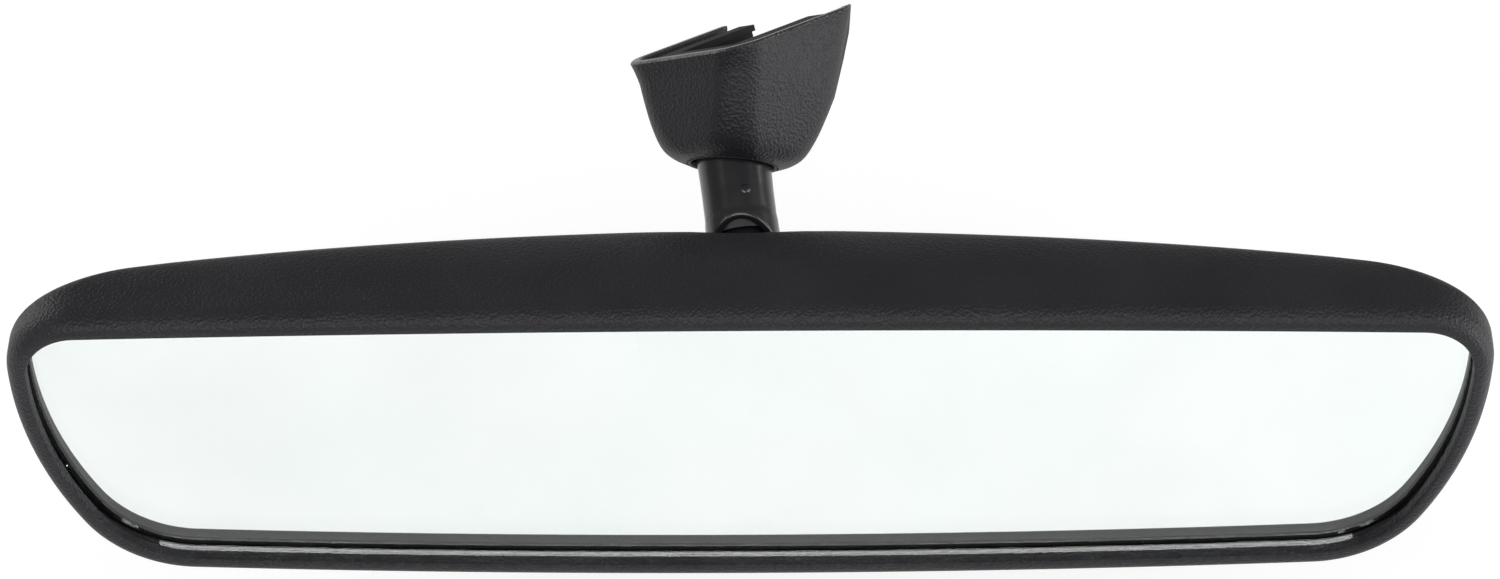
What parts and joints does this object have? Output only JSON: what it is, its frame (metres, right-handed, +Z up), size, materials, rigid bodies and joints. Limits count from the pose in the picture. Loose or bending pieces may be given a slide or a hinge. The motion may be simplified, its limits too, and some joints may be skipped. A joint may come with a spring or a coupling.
{
  "type": "interior rearview mirror",
  "caption": "Interior rearview mirror: wide framed mirror head on a short double-ball stem with a flared cup mount that slides onto a windscreen button.",
  "frame": {"origin": "centre of the flat pad in the mount's channel, where the windscreen button rests", "axes": "+Z up, +X along the mirror's width, -Y the way the glass faces, towards the driver"},
  "size_m": [0.251, 0.0866, 0.0758],
  "materials": {
    "grained_black": "fine leather grain",
    "smooth_black": "smooth, semi-gloss",
    "mirror": "polished, flat",
    "film": "silvering behind the glass",
    "foam": "closed-cell foam",
    "inner_plastic": "as moulded",
    "acetal": "black acetal",
    "zinc": "black-passivated die casting",
    "steel": "zinc plated",
    "spring_steel": "oiled spring steel"
  },
  "bodies": {
    "mount": {"mount_cover": "grained_black", "mount_bracket": "zinc", "button_spring": "spring_steel", "cover_clip_left": "spring_steel", "cover_clip_right": "spring_steel", "upper_stud_nut": "steel", "upper_stud_washer": "steel"},
    "upper_stud": {"upper_ball_stud": "zinc"},
    "upper_liner": {"upper_ball_liner": "acetal"},
    "stem": {"stem_tube": "smooth_black", "lower_ball_seat": "acetal", "stem_spring": "spring_steel", "upper_ball_seat": "acetal"},
    "lower_liner": {"lower_ball_liner": "acetal"},
    "lower_stud": {"lower_ball_stud": "zinc"},
    "head": {"mirror_case": "grained_black", "mirror_glass": "mirror", "reflective_backing": "film", "foam_pad": "foam", "glass_carrier": "inner_plastic", "stud_plate": "steel", "plate_screw_1": "steel", "plate_screw_2": "steel", "plate_screw_3": "steel", "plate_screw_4": "steel", "lower_stud_washer": "steel", "lower_stud_nut": "steel"}
  },
  "joints": [
    {"name": "arm_turn", "type": "hinge", "parent": "mount", "child": "upper_stud", "pos_m": [-0.00327, -0.01606, -0.00982], "axis": [0.0646, 0.7854, 0.6157], "range_deg": [-30, 30]},
    {"name": "arm_fore_aft", "type": "hinge", "parent": "upper_stud", "child": "upper_liner", "pos_m": [-0.00327, -0.01606, -0.00982], "axis": [0.9903, 0.1392, 0], "range_deg": [-6, 18]},
    {"name": "arm_sideways", "type": "hinge", "parent": "upper_liner", "child": "stem", "pos_m": [-0.00327, -0.01606, -0.00982], "axis": [0.0738, -0.5248, 0.848], "range_deg": [-21, 1]},
    {"name": "head_left_right", "type": "hinge", "parent": "stem", "child": "lower_liner", "pos_m": [-0.00118, -0.03093, -0.0192], "axis": [0, 0, 1], "range_deg": [-18, 18]},
    {"name": "head_up_down", "type": "hinge", "parent": "lower_liner", "child": "lower_stud", "pos_m": [-0.00118, -0.03093, -0.0192], "axis": [1, 0, 0], "range_deg": [-25, 20]},
    {"name": "head_roll", "type": "hinge", "parent": "lower_stud", "child": "head", "pos_m": [-0.00118, -0.03093, -0.0192], "axis": [0, 1, 0], "range_deg": [-12, 12]}
  ]
}
